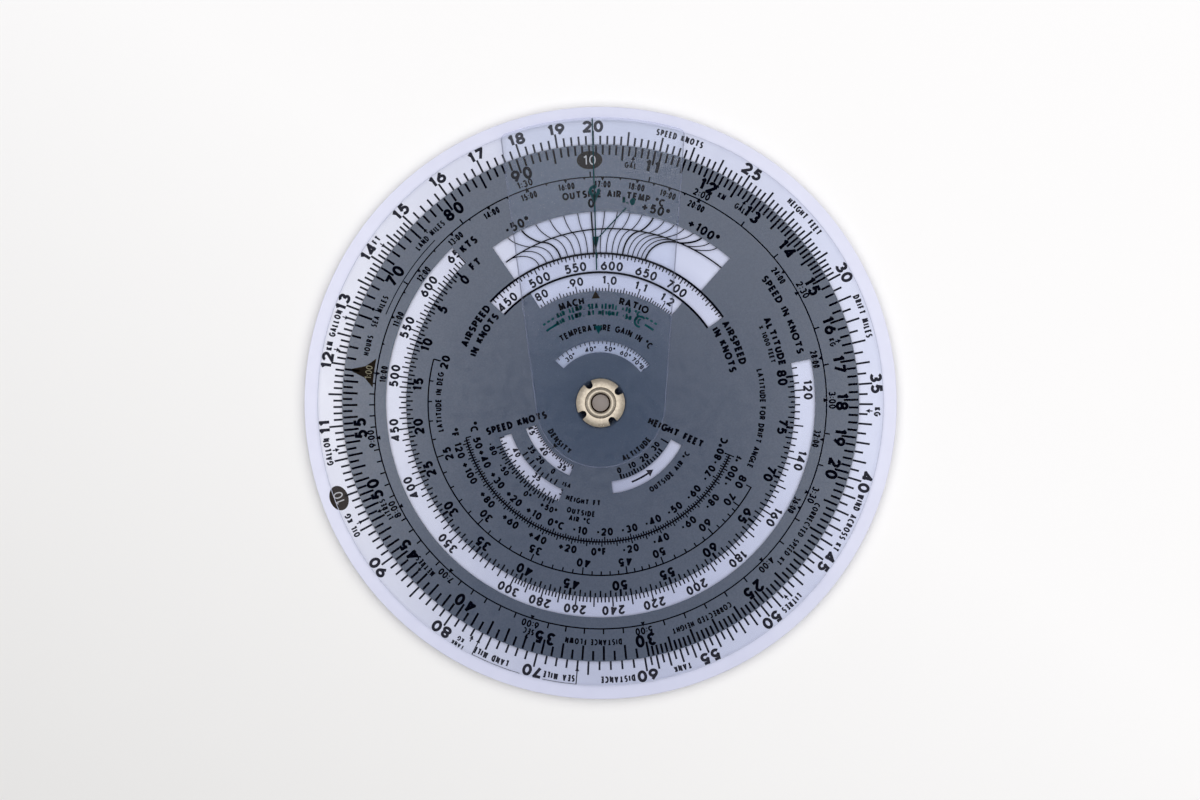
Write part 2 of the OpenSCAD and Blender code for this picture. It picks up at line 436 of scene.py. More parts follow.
def mach_turn(mach):
    return 4.1 + 156 * (mach - 1) - 62 * (mach - 1) ** 2


def rise_turn(rise):
    return -0.1 + 2.02 * (rise - 45) - 0.0145 * (rise - 45) ** 2


def density_turn(start):
    """Angle of a value on a density scale whose 35 is at a start angle."""
    return lambda value: start + 3.74 * (value - 35)


# Start, stop, step and counts to longer ticks of the airspeed scale, which gets closer as it goes
AIRSPEEDS = ((60, 100, 1, 5, 10), (100, 300, 2, 5, 5), (300, 850, 5, 2, 10))
AIRSPEED_NUMBERS = (*range(60, 100, 10), *range(100, 300, 20), *range(300, 850, 50))
TRUE_SPEED_NUMBERS = (*range(100, 750, 50), *range(800, 1200, 100))
# Tick foot, tick ends, angle of the 35 and number radius of the two density scales
DENSITIES = ((27.6, (27, 26.2), 220.8, 25.9), (17.4, (18, 18.5), 211, 20))
LEVEL_ARROW_R = 21.85


def window_scales():
    for stretch in AIRSPEEDS:
        graduate(base_ink, steps(*stretch), airspeed_turn, foot=50, ends=(51.35, 51.9, 52.5), width=0.38)
    number(base_ink, AIRSPEED_NUMBERS, airspeed_turn, r=52.25, size=2.4, weight=PLAIN)
    speeds = steps(100, 1200, 5, 2, 10)
    graduate(base_ink, speeds, true_speed_turn, foot=38.5, ends=(37.5, 37.2, 36.8), width=0.32)
    number(base_ink, TRUE_SPEED_NUMBERS, true_speed_turn, r=34.15, size=2.4, weight=LIGHT)
    machs = steps(0.3, 2, 0.01, 5, 10)
    graduate(base_ink, machs, mach_turn, foot=28.7, ends=(29.6, 30.1, 30.6), width=0.29)
    for tenths in range(3, 20):
        text = f"{tenths / 10:.1f}" if tenths >= 10 else f".{tenths}0"
        write(base_ink, text, ring(30.5, mach_turn(tenths / 10)), size=2.25, weight=LIGHT)
    graduate(base_ink, steps(0, 100, 2, 5), rise_turn, foot=16.1, ends=(15.2, 14.8), width=0.26)
    number(base_ink, range(0, 100, 10), rise_turn, r=13.4, size=1.3, form="{:g}°")
    line(base_ink, LEVEL_ARROW_R, 145, 158.5, width=0.5)
    barbs = [polar(LEVEL_ARROW_R + 1, 146), polar(LEVEL_ARROW_R - 1, 146)]
    base_ink.plate([polar(LEVEL_ARROW_R, 141.6), *barbs])
    for foot, ends, start, r in DENSITIES:
        turn = density_turn(start)
        graduate(base_ink, steps(10, 90, 0.5, 2), turn, foot, ends, width=0.36)
        number(base_ink, range(10, 90, 5), turn, r, size=1.6, inward=True, weight=BOLD)


# Scales of the grey print
HOUR_HALF = 3.65
HOUR_NECK = 0.4 * HOUR_HALF
HOUR_NECK_R = 61


def hour_mark(hour):
    """Triangle at the one-hour angle, on a curved foot, with its sides drawn in."""
    foot = [polar(58.75, hour - HOUR_HALF + HOUR_HALF * i / 6) for i in range(13)]
    necks = [polar(HOUR_NECK_R, hour + HOUR_NECK), polar(HOUR_NECK_R, hour - HOUR_NECK)]
    disc_brown.plate([*foot, necks[0], polar(65.4, hour), necks[1]])
    write(disc_tan, "1:00", ring(59.3, hour), size=1.7, weight=HAIR, squeeze=0.85)


def disc_scale():
    turn = log_turn(INDEX)
    decade(disc_ink, turn, foot=PRINT_R - 0.25, ends=(63.8, 62.5), width=0.56)
    # The hour mark stands in for the 60
    numbers = [value for value in DECADE_NUMBERS if value != 60]
    number(disc_ink, numbers, turn, r=60.45, size=3.3, weight=PLAIN, gap=0.22, astride=True)
    ten_badge(disc_brown, disc_pale, 62.5, INDEX, length=6.6, height=4.7)
    hour_mark(turn(60))
    pointer(disc_brown, INDEX, tip=28.95, foot=26.9, width=2.2)


TIME_R = 58.1
TIME_MARK_W = 1.1
LABELLED_MINUTES = (90, 120, 150, 180, 210, 240, *range(300, 600, 60))
LABELLED_HOURS = (*range(10, 21), 24, 28, 32, 36)


def clock(minutes):
    """Angle of a time, on a scale with 100 minutes at the index."""
    return log_turn(INDEX)(minutes / 10)


def time_scale():
    line(disc_ink, TIME_R, 0, 360, width=0.34)
    for minutes in range(60, 600, 10):
        if minutes not in LABELLED_MINUTES:
            tick(disc_ink, clock(minutes), TIME_R, 59.5, width=0.38)
    for minutes in LABELLED_MINUTES:
        pointer(disc_ink, clock(minutes), TIME_R + 0.5, TIME_R - 0.8, TIME_MARK_W)
        text = f"{minutes // 60}:{minutes % 60:02d}"
        write(disc_ink, text, ring(58.65, clock(minutes)), size=1.9, weight=LIGHT, squeeze=0.85, gap=0.09)
    for hour in LABELLED_HOURS:
        pointer(disc_ink, clock(hour * 60), TIME_R - 1, TIME_R, TIME_MARK_W)
        place = ring(55.35, clock(hour * 60))
        write(disc_ink, f"{hour}:00", place, size=1.8, weight=LIGHT, squeeze=0.58, gap=0.07)
    for half in range(21, 41, 2):
        pointer(disc_ink, clock(half * 30), TIME_R - 0.7, TIME_R, width=0.8)


def altitude_turn(height):
    if height < 35:
        return 312.2 - 2.27 * height - 0.0105 * height ** 2
    return 219.8 - 3.06 * (height - 35)


def latitude_turn(latitude):
    return 284.7 + 360 * log10(sin(radians(20)) / sin(radians(latitude)))


def celsius_turn(celsius):
    return 200.3 + 1.1035 * celsius


def fahrenheit_turn(fahrenheit):
    return celsius_turn((fahrenheit - 32) / 1.8)


LATITUDE_R = 44.35
LATITUDE_W = 0.36
LATITUDE_NUMBERS = (20, 25, 30, 35, 40, 45, 50, 60, 70, 80)
CELSIUS_R = 35.75
CELSIUS_W = 0.34
# Numbers of the two temperature scales, those with a unit, their turn function and their radius
DEGREES = (
    (range(-80, 60, 10), {-80: "-80°C", 0: "0°C", 50: "°C 50"}, celsius_turn, 34.2),
    (range(-100, 140, 20), {0: "0°F", 120: "°F 120"}, fahrenheit_turn, 39.3),
)


def inner_scales():
    graduate(disc_ink, steps(0, 80.5, 0.5, 2), altitude_turn, foot=50, ends=(48.9, 48.3), width=0.42)
    graduate(disc_ink, steps(0, 85, 5, 1), altitude_turn, foot=49.9, ends=(48.1, 48.1), width=0.6)
    number(disc_ink, range(0, 85, 5), altitude_turn, r=45.85, size=2.6)
    line(disc_ink, LATITUDE_R, latitude_turn(80) - 0.2, latitude_turn(20), LATITUDE_W)
    for latitudes in (steps(20, 50, 1, 5), steps(50, 72, 2, 5)):
        graduate(disc_ink, latitudes, latitude_turn, LATITUDE_R + 0.05, (43.3, 42.5), LATITUDE_W)
    number(disc_ink, LATITUDE_NUMBERS, latitude_turn, r=40.25, size=2.2)
    tick(disc_ink, latitude_turn(80), LATITUDE_R + 0.15, 42.9, LATITUDE_W)
    line(disc_ink, CELSIUS_R, celsius_turn(-80), celsius_turn(50), width=0.4)
    celsius_ends = (35, 34.7, 34.4)
    graduate(disc_ink, steps(-80, 51, 1, 5, 10), celsius_turn, CELSIUS_R + 0.05, celsius_ends, CELSIUS_W)
    graduate(disc_ink, steps(-112, 122, 2, 5), fahrenheit_turn, CELSIUS_R - 0.05, (36.5, 37), CELSIUS_W)
    for values, words, turn, r in DEGREES:
        for value in values:
            text = words.get(value, f"{value:+d}")
            write(disc_ink, text, ring(r, turn(value), True), size=2.05, weight=FIRM)
    write(disc_ink, "°F", ring(39.2, celsius_turn(-80), True), size=1.6)


# Small scales round the two windows near the eyelet: what their numbers say, by angle
ALTITUDES = ((0, 164.6), (10, 153.3), (20, 141.3), (30, 128.3))
ALTITUDE_R = 20.3
ALTITUDE_LONG = (18.9, 0.52)
ALTITUDE_SHORT = (19.2, 0.42)
OUTSIDE_DEGREES = (("+50°", 206.5), ("0°", 218.6), ("-50", 235.5), ("-80", 247))
PRESSURES = (("0", 214.8), ("20", 226.5), ("35", 236))
SMALL_W = 0.42


def small_scales():
    for (_, start), (_, end) in zip(ALTITUDES, ALTITUDES[1:]):
        for i in range(5):
            reach = ALTITUDE_SHORT if i else ALTITUDE_LONG
            tick(disc_ink, start + (end - start) * i / 5, ALTITUDE_R, *reach)
    tick(disc_ink, ALTITUDES[-1][1], ALTITUDE_R, *ALTITUDE_LONG)
    for value, angle in ALTITUDES:
        write(disc_ink, str(value), ring(18.75, angle, True), size=1.6, weight=BOLD)
    tick(disc_ink, 120.7, ALTITUDE_R, 18, width=0.4)
    for i in range(28):
        tick(disc_ink, 205.7 + 1.511 * i, 27.6, 29.2 if i % 2 else 28.6, SMALL_W)
    for text, angle in OUTSIDE_DEGREES:
        write(disc_ink, text, ring(31, angle, True), size=1.6, weight=BOLD)
    for i in range(9):
        tick(disc_ink, 209.5 + 3.3 * i, 24.1, 23.1 if i % 2 else 22.5, SMALL_W)
    for text, angle in PRESSURES:
        write(disc_ink, text, ring(22.1, angle, True), size=1.5, weight=BOLD)
    pointer(disc_ink, 226.7, tip=17.1, foot=15.7, width=1.4)


# Temperature curves on the clear sheet of the top window, between FOOT_R and an arc about a shifted centre
TOP_R = 49.2
TOP_SHIFT = 1
FOOT_R = 38.6
CURVE_STEPS = 10
WINDOW_RULES = (33.6, 38.45)
TEMPERATURES = (("-50°", 334.8, 49.3), ("0", 357.3, 50.2), ("+50°", 15.8, 50.4), ("+100°", 30.8, 50.4))


def rule_r(angle):
    """Radius of the sloping line across the temperature window."""
    return 44.75 + 0.039 * angle + 0.00013 * angle ** 2


def window_top_r(angle):
    """Radius of the window's outer edge."""
    swing = radians(angle - 90 - INDEX)
    return TOP_SHIFT * cos(swing) + sqrt(TOP_R ** 2 - (TOP_SHIFT * sin(swing)) ** 2)


def bezier(*corners):
    """Plan points along a cubic curve whose four corners are pairs of angle and radius."""
    path = []
    for i in range(CURVE_STEPS + 1):
        t = i / CURVE_STEPS
        weights = ((1 - t) ** 3, 3 * t * (1 - t) ** 2, 3 * t * t * (1 - t), t ** 3)
        angle, r = (sum(w * p[k] for w, p in zip(weights, corners)) for k in (0, 1))
        path.append(polar(r, angle))
    return path


def temperature_curves():
    """A family of curves, each bent where it meets the sloping line, and bolder at each 50 degrees."""
    for celsius in range(-80, 130, 10):
        width = 0.42 if celsius % 50 == 0 else 0.24
        foot = -2.5 + 0.238 * celsius - 0.0004 * celsius ** 2
        middle = -2.7 + 0.333 * celsius - 0.00042 * celsius ** 2
        top = -2.8 + 0.405 * celsius - 0.00062 * celsius ** 2
        r, r_top = rule_r(middle), window_top_r(top)
        if celsius <= 100:
            bend = (middle - 0.45 * (middle - foot), r - 0.08 * (r - FOOT_R))
            rise = (foot, FOOT_R + 0.6 * (r - FOOT_R))
            sheet_ink.stroke(bezier((foot, FOOT_R), rise, bend, (middle, r)), width)
        if celsius >= -60:
            bend = (middle + 0.5 * (top - middle), r + 0.25 * (r_top - r))
            brink = (top - 0.1 * (top - middle), r_top - 0.4 * (r_top - r))
            sheet_ink.stroke(bezier((middle, r), bend, brink, (top, r_top)), width)
    sheet_ink.stroke([polar(rule_r(angle), angle) for angle in range(-34, 45, 2)], width=0.36)
    for r in WINDOW_RULES:
        line(disc_ink, r, -47.5, 55, width=0.55)
    for text, angle, r in TEMPERATURES:
        write(disc_ink, text, ring(r, angle), size=2.45, weight=PLAIN)


# Captions on the grey print: text, angle, foot radius, height, squeeze and weight
OUTWARD_CAPTIONS = (
    ("OUTSIDE AIR TEMP °C", 3.6, 52.8, 2, 1, 0.26),
    ("KTS", 320.2, 52, 2.2, 1, 0.27), ("FT", 318, 47, 2.2, 1, 0.27),
    ("SPEED IN KNOTS", 64.2, 52, 2, 1.2, 0.27), ("ALTITUDE", 70.5, 46.8, 2, 1.2, 0.29),
    ("X 1000 FEET", 70.6, 44.9, 1.4, 0.9, 0.26),
    ("AIRSPEED", 301.6, 37, 2.05, 1.1, 0.28), ("IN KNOTS", 300.3, 34, 2.05, 1.05, 0.28),
    ("AIRSPEED", 65.7, 37, 2.05, 1.1, 0.28), ("IN KNOTS", 66.8, 34, 2.05, 1.05, 0.28),
    ("MACH", 343.5, 25.6, 2, 1, 0.25), ("RATIO", 19, 25.6, 2, 1.1, 0.25),
    ("TEMPERATURE GAIN IN °C", 4.8, 18.5, 1.75, 0.85, 0.24),
    ("LATITUDE FOR DRIFT ANGLE", 95.7, 40.9, 1.6, 0.9, 0.25),
    ("LATITUDE IN DEG", 270.3, 40.9, 1.6, 0.85, 0.25),
)
# Captions with their tops inward: text, angle, foot radius, height and squeeze
INWARD_CAPTIONS = (
    ("OUTSIDE AIR °C", 135, 26.5, 1.5, 0.9), ("ALTITUDE", 142.3, 16.2, 1.6, 0.9),
    ("DENSITY", 226.7, 15.5, 1.6, 1), ("HEIGHT FT", 190, 26.5, 1.5, 0.85),
    ("OUTSIDE", 190.2, 29.4, 1.5, 0.9), ("AIR °C", 190.2, 31.3, 1.5, 0.9), ("ISA", 202.5, 23.4, 1.2, 1),
)
# Captions beside a window's end: text, middle radius, angle, way and squeeze
RAY_CAPTIONS = (("HEIGHT FEET", 20.8, 114.2, 1, 1), ("SPEED KNOTS", 22.2, 253.9, -1, 0.98))
CAPTION_GAP = 0.08
# Words and arrows under the print's outer numbers, by angle
PRINT_WORDS = (
    ("GAL", 7.2), ("KM", 30.4), ("GAL", 35.6), ("KG", 75.3), ("CORRECTED SPEED KT", 123.5),
    ("CORRECTED HEIGHT", 154.8), ("DISTANCE FLOWN", 181.7), ("SEC", 197.5), ("METRES", 227),
    ("LITRES", 243.6), ("HOURS", 283.9), ("SEA MILES", 292.5), ("LAND MILES", 314.5),
)
PRINT_ARROWS = (7.6, 28.4, 35.7, 75.4, 197.6, 227.4, 243.9, 292.4, 314.5)


def captions():
    for text, angle, r, size, squeeze, weight in OUTWARD_CAPTIONS:
        write(disc_ink, text, ring(r, angle), size, weight, squeeze, CAPTION_GAP)
    for text, angle, r, size, squeeze in INWARD_CAPTIONS:
        write(disc_ink, text, ring(r, angle, True), size, BOLD, squeeze)
    for text, r, angle, way, squeeze in RAY_CAPTIONS:
        write(disc_ink, text, ray(r, angle, way), 2, 0.28, squeeze, CAPTION_GAP)
    for text, angle in PRINT_WORDS:
        write(disc_ink, text, ring(60.75, angle), size=1.6, weight=0.23, squeeze=0.7)
    for angle in PRINT_ARROWS:
        arrow(disc_ink, angle, tip=64, foot=62.3)
    line(disc_ink, 59.7, *PRINT_ARROWS[-2:], width=0.24)


# Green marks under the cursor arm
CURSOR_CAPTIONS = ((24.2, "AIR TEMP. SEA LEVEL +15 °C"), (22.5, "AIR TEMP. AT HEIGHT -56 °C"))
DASH_R = 24.8
DASH_STARTS = (-36.5, 28)
DASH_TURN = 1.7
DASH_STEP = 3
RULE_R = 23.1
RULE_TURNS = ((-37, -28), (29.5, 36))


def cursor_marks():
    tick(cursor_ink, HAIRLINE, 34.2, 73.2, width=0.34)
    pointer(cursor_ink, HAIRLINE, tip=39.4, foot=42.8, width=1.8)
    curl(cursor_ink, polar(54.5, HAIRLINE), r=1.1, start=60, step=10, count=34, width=0.8)
    pointer(cursor_ink, HAIRLINE, tip=51, foot=53.3, width=1.8)
    cursor_ink.stroke([polar(42.7, -0.5), polar(50.6, 7.5)], width=0.3)
    write(cursor_ink, "1.0", ring(51.5, 7.8), size=1.8, weight=0.38)
    pointer(cursor_ink, HAIRLINE, tip=17.7, foot=19.9, width=2.1)
    for r, text in CURSOR_CAPTIONS:
        write(cursor_ink, text, ring(r, -1.5), size=1.4, weight=0.33, squeeze=0.66, gap=0.07)
    for i in range(3):
        for first in DASH_STARTS:
            start = first + DASH_STEP * i
            line(cursor_ink, DASH_R, start, start + DASH_TURN, width=0.5)
    for start, end in RULE_TURNS:
        line(cursor_ink, RULE_R, start, end, width=0.55)
    curl(cursor_ink, polar(23.2, 25.8), r=1.35, start=60, step=-20, count=13, width=0.5)


# Painted shade under the spring washer, and a painted shadow round its edge
SHADE_START = rim("calculator_slip_washer") + 0.1
SHADE_END = rim("spring_washer") + 0.45


def washer_dirt():
    """Painted shade under the spring washer, seen through its notches, with a painted shadow round the
    washer's edge.
    """
    line(cursor_painted_shade, (SHADE_START + SHADE_END) / 2, 0, 360, SHADE_END - SHADE_START)


# Rear scales: a log ring on the base disc, an angle ring and a grid on the wind disc, a compass ring
WIND_R = rim("wind_disc")
COMPASS_R = rim("compass_disc")
GRID_R = COMPASS_R - 7
GRID_STEP = 5
AXIS_W = 0.3
GRID_W = 0.14


def compass_turn(bearing):
    return bearing


def rear_scales():
    decade(base_rear, log_turn(0), WIND_R + 0.5, (WIND_R + 2, WIND_R + 3.2), width=0.4)
    number(base_rear, (10, *DECADE_NUMBERS), log_turn(0), WIND_R + 4, size=3, astride=True)
    rings = ((wind_rear, COMPASS_R + 0.6, 0.3, 10), (compass_rear, COMPASS_R - 6, 0.25, 30))
    for ink, r, width, spacing in rings:
        graduate(ink, steps(0, 360, 1, 5, 10), compass_turn, r, (r + 1, r + 1.5, r + 2), width)
        number(ink, range(0, 360, spacing), compass_turn, r + 2.6, size=2.2)
    for i in range(-9, 10):
        offset = GRID_STEP * i
        reach = sqrt(GRID_R ** 2 - offset ** 2)
        # The two axes stop short of the eyelet
        ends = ((-reach, reach),) if i else ((-reach, -GRID_STEP), (GRID_STEP, reach))
        width = GRID_W if i else AXIS_W
        for start, end in ends:
            wind_rear.stroke([(start, offset), (end, offset)], width)
            wind_rear.stroke([(offset, start), (offset, end)], width)
    line(wind_rear, GRID_R, 0, 360, AXIS_W)


# Painted light and shade along the top edges of the clear sheets. Points nearer than TOUCH, in metres, are
# one
TOUCH = 1e-6
DISC_EDGE_W = 0.15
CURSOR_EDGE_W = 0.3


def outline(node):
    """Outer outline of the top face of a sheet, anticlockwise."""
    work = bmesh.new()
    work.from_mesh(nodes[node].data)
    bmesh.ops.remove_doubles(work, verts=work.verts, dist=TOUCH)
    top = max(point.co.z for point in work.verts)

    def level(face):
        return all(top - point.co.z < TOUCH for point in face.verts)
    after = {}
    for face in filter(level, work.faces):
        for loop in face.loops:
            if not all(level(other) for other in loop.edge.link_faces):
                after[loop.vert] = loop.link_loop_next.vert
    loops = []
    while after:
        start, here = after.popitem()
        loops.append([start])
        while here is not start:
            loops[-1].append(here)
            here = after.pop(here)
    paths = [[(point.co.x / MM, point.co.y / MM) for point in loop] for loop in loops]
    work.free()
    return max(paths, key=lambda path: max(map(max, path)))


def edge(node, width):
    """A fine painted line along a sheet's top edge, standing in for the edge's light and shade."""
    ink = Print(high(node) + INK_STEP)
    inset, _ = sides(outline(node), width, True)
    ink.stroke(inset, width, True)
    return ink


outer_scale()
window_scales()
disc_scale()
time_scale()
inner_scales()
small_scales()
temperature_curves()
captions()
cursor_marks()
washer_dirt()
rear_scales()


# Materials. Noise lies mostly within NOISE_RANGE
NOISE_DETAIL = 3
NOISE_RANGE = (0.3, 0.7)
GLOSS_POWER = 5
UP = (0, 0, 1)
WHITE = (1, 1, 1, 1)


def toward(angle):
    """Level direction at a clockwise angle from +Y."""
    return (*polar(1, angle), 0)


def tone(red, green, blue):
    """Linear colour of an sRGB colour from 0 to 255."""
    def linear(value):
        share = value / 255
        return share / 12.92 if share <= 0.04045 else ((share + 0.055) / 1.055) ** 2.4
    return linear(red), linear(green), linear(blue), 1


class Nodes:
    """A node tree, and the steps that build it."""

    def __init__(self, tree):
        self.tree = tree

    def link(self, start, end):
        self.tree.links.new(start, end)

    def feed(self, value, socket):
        """Links a socket to another one, or sets it to a plain value."""
        if isinstance(value, bpy.types.NodeSocket):
            self.link(value, socket)
        else:
            socket.default_value = value

    def add(self, kind, *values, operation=None, **named):
        """Adds a node. Its first inputs, and those that are named, take plain values or sockets."""
        node = self.tree.nodes.new(kind)
        if operation:
            node.operation = operation
        for value, socket in zip(values, node.inputs):
            self.feed(value, socket)
        for name, value in named.items():
            self.feed(value, node.inputs[name])
        return node

    def maths(self, operation, *values):
        return self.add("ShaderNodeMath", *values, operation=operation).outputs["Value"]

    def ranged(self, value, start, end, least, most):
        """Maps a value from one range to another."""
        return self.add("ShaderNodeMapRange", value, start, end, least, most).outputs["Result"]

    def level(self, share, start, end):
        """Blends two values by a share."""
        return self.add("ShaderNodeMix", Factor=share, A=start, B=end).outputs["Result"]


class Finish(Nodes):
    """A procedural material with noise in object space. Grain sizes are in millimetres."""

    def __init__(self, name):
        self.material = bpy.data.materials.new(name)
        self.material.use_nodes = True
        super().__init__(self.material.node_tree)
        self.shader = self.tree.nodes["Principled BSDF"]
        self.space = self.add("ShaderNodeTexCoord").outputs["Object"]

    def noise(self, grain):
        node = self.add("ShaderNodeTexNoise", self.space, Scale=1 / (grain * MM), Detail=NOISE_DETAIL)
        return node.outputs["Fac"]

    def colour(self, dark, pale, grain):
        """Blends two colours by noise."""
        return self.ramp(self.noise(grain), tuple(zip(NOISE_RANGE, (dark, pale))))

    def between(self, least, most, grain):
        """A value that noise moves between two ends."""
        return self.ranged(self.noise(grain), *NOISE_RANGE, least, most)

    def bump(self, grain, depth):
        """Gives the Principled shader a bump whose depth is in millimetres."""
        node = self.add("ShaderNodeBump", Strength=1, Distance=depth * MM, Height=self.noise(grain))
        self.link(node.outputs["Normal"], self.shader.inputs["Normal"])

    def plain(self, colour, rough, rough_grain, bump_grain, depth, **sockets):
        """Sets up the Principled shader with a colour, uneven roughness and a fine bump."""
        self.link(colour, self.shader.inputs["Base Color"])
        self.link(self.between(*rough, rough_grain), self.shader.inputs["Roughness"])
        self.bump(bump_grain, depth)
        for name, value in sockets.items():
            self.shader.inputs[name.replace("_", " ")].default_value = value
        return self.material

    def along(self, way, start, end, least=0, most=1):
        """A value that goes from least to most between two distances along a direction."""
        reach = self.vector("DOT_PRODUCT", self.space, [share / MM for share in way])["Value"]
        return self.ranged(reach, start, end, least, most)

    def vector(self, operation, *values):
        """A vector operation on sockets or plain vectors."""
        return self.add("ShaderNodeVectorMath", *values, operation=operation).outputs

    def plan(self):
        """Place in plan, in millimetres."""
        return self.vector("MULTIPLY", self.space, (1 / MM, 1 / MM, 0))["Vector"]

    def beyond(self, start, end, least=0, most=1):
        """A value that goes from least to most between two distances from the eyelet's axis."""
        return self.ranged(self.vector("LENGTH", self.plan())["Value"], start, end, least, most)

    def bearing(self):
        """Cosine of the bearing from the eyelet: 1 straight behind it and -1 straight in front."""
        way = self.vector("NORMALIZE", self.plan())["Vector"]
        return self.vector("DOT_PRODUCT", way, toward(0))["Value"]

    def blend(self, share, start, end, kind="MIX"):
        """Blends two colours by a share. Each is a colour or a socket."""
        mix = self.add("ShaderNodeMix", Factor=share)
        mix.data_type = "RGBA"
        mix.blend_type = kind
        for value, socket in zip((start, end), [i for i in mix.inputs if i.type == "RGBA"]):
            self.feed(value, socket)
        return next(o for o in mix.outputs if o.type == "RGBA")

    def times(self, start, end):
        """Multiplies two colours."""
        return self.blend(1, start, end, "MULTIPLY")

    def ramp(self, value, stops):
        """Colours a value by stops, each a place from 0 to 1 and a colour."""
        node = self.add("ShaderNodeValToRGB", value)
        elements = node.color_ramp.elements
        while len(elements) < len(stops):
            elements.new(1)
        for element, (place, colour) in zip(elements, stops):
            element.position = place
            element.color = colour
        return node.outputs["Color"]

    def layer(self, share, under, over):
        """Mixes two shaders by a share."""
        return self.add("ShaderNodeMixShader", share, under, over).outputs["Shader"]

    def clear(self, tint, haze, haze_share, rough):
        """Sets up a clear sheet: what is behind shows through its tint, under a thin haze
        and a gloss that grows at a slant."""
        through = self.add("ShaderNodeBsdfTransparent", Color=tint).outputs["BSDF"]
        self.shader.inputs["Base Color"].default_value = haze
        self.shader.inputs["Specular IOR Level"].default_value = 0
        self.link(self.between(0.5, 0.7, 2), self.shader.inputs["Roughness"])
        veiled = self.layer(haze_share, through, self.shader.outputs["BSDF"])
        gloss = self.add("ShaderNodeBsdfGlossy", Color=WHITE, Roughness=self.between(*rough, 4))
        facing = self.add("ShaderNodeLayerWeight", Blend=0.5).outputs["Facing"]
        surface = self.layer(self.maths("POWER", facing, GLOSS_POWER), veiled, gloss.outputs["BSDF"])
        self.link(surface, self.tree.nodes["Material Output"].inputs["Surface"])
        return self.material


def mottled(name, dark, pale, grain, *surface, **sockets):
    """A material between two tones, with a surface for Finish.plain."""
    finish = Finish(name)
    return finish.plain(finish.colour(dark, pale, grain), *surface, **sockets)


CLEAR_R = rim("calculator_disc")
BASE_R = rim("base_disc")
BARE_WHITE = tone(229, 230, 248)
# Tones of the white sheet's front by radius, with painted shade: it is deeper near the eyelet, and bare at
# the rim
WHITES_WITH_PAINTED_SHADE = (
    (14, tone(188, 192, 213)), (22, tone(197, 201, 222)), (27, tone(192, 196, 217)),
    (31, tone(210, 214, 235)), (37, tone(204, 208, 230)), (42, tone(218, 222, 242)),
    (50, tone(212, 216, 236)), (PRINT_R - 6, tone(212, 216, 236)), (PRINT_R, tone(223, 226, 243)),
    (CLEAR_R - 0.6, tone(223, 226, 243)), (CLEAR_R + 0.2, BARE_WHITE),
)
# Painted light and shade on the white sheet by the cosine of its bearing, where it is bare and where the
# clear disc covers it.
# A deeper level keeps more green and more blue, by the two powers
BARE_PAINTED_SHADING = ((-1, 0.79), (-0.77, 0.85), (-0.5, 0.93), (-0.17, 0.98), (0.5, 0.99), (0.77, 0.965), (1, 0.89))
COVERED_PAINTED_SHADING = (
    (-1, 0.59), (-0.94, 0.63), (-0.77, 0.735), (-0.5, 0.85), (-0.17, 0.96),
    (0, 0.99), (0.5, 0.96), (0.77, 0.88), (1, 0.82),
)
GREEN_POWER = 0.93
BLUE_POWER = 0.7
# Tints of the covered white at its two sides: painted light on the left and painted shade on the right
COVERED_LEFT_PAINTED_LIGHT = (1.08, 1.06, 1, 1)
COVERED_RIGHT_PAINTED_SHADE = (0.95, 0.96, 0.99, 1)
SHEET_SURFACE = ((0.35, 0.5), 3, 0.4, 0.002)


def white_sheet():
    """White plastic. Its upper face has painted shade toward the eyelet, the front and the back, and painted
    light toward the left.
    """
    finish = Finish("white_plastic")
    # Painted shade by radius
    radial_painted_shade = finish.ramp(finish.beyond(0, BASE_R), [(r / BASE_R, colour) for r, colour in WHITES_WITH_PAINTED_SHADE])

    def levels(stops):
        colours = []
        for cosine, level in stops:
            colours.append(((cosine + 1) / 2, (level, level ** GREEN_POWER, level ** BLUE_POWER, 1)))
        return finish.ramp(finish.ranged(finish.bearing(), -1, 1, 0, 1), colours)
    # Painted light and shade by bearing, and from left to right
    across_painted_light = finish.blend(finish.along(toward(90), -CLEAR_R, CLEAR_R), COVERED_LEFT_PAINTED_LIGHT, COVERED_RIGHT_PAINTED_SHADE)
    covered_painted_shading = finish.times(levels(COVERED_PAINTED_SHADING), across_painted_light)
    level = finish.blend(finish.beyond(CLEAR_R - 0.4, CLEAR_R + 0.1), covered_painted_shading, levels(BARE_PAINTED_SHADING))
    front = finish.along(UP, low("base_disc"), high("base_disc"))
    shade = finish.blend(front, BARE_WHITE, finish.times(radial_painted_shade, level))
    mottle = finish.colour((0.96, 0.96, 0.97, 1), WHITE, 5)
    return finish.plain(finish.times(shade, mottle), *SHEET_SURFACE)


def ink_finish(name, dark, pale, gloss):
    """Dull ink between two tones."""
    return mottled(name, dark, pale, 0.3, (0.45, 0.6), 1, 0.2, 0.002, Specular_IOR_Level=gloss)


white_plastic = white_sheet()
wind_plastic = mottled("wind_plastic", tone(226, 228, 236), tone(234, 235, 242), 5, *SHEET_SURFACE)
grey_print = mottled(
    "grey_print", tone(46, 58, 80), tone(52, 64, 86), 0.35,
    (0.13, 0.19), 2, 0.25, 0.003, Specular_IOR_Level=0.2)
base_black = ink_finish("base_black", tone(10, 11, 24), tone(18, 19, 34), 0.05)
disc_black = ink_finish("disc_black", tone(2, 3, 12), tone(6, 7, 17), 0)
base_brown_ink = ink_finish("base_brown", tone(36, 31, 29), tone(46, 40, 37), 0.1)
disc_brown_ink = ink_finish("disc_brown", tone(20, 16, 12), tone(28, 23, 18), 0.05)
badge_tan = ink_finish("badge_tan", tone(116, 112, 96), tone(128, 124, 108), 0.1)
badge_pale = ink_finish("badge_pale", tone(168, 168, 174), tone(184, 184, 190), 0.2)
green_ink = ink_finish("green_ink", tone(0, 48, 54), tone(0, 58, 63), 0)


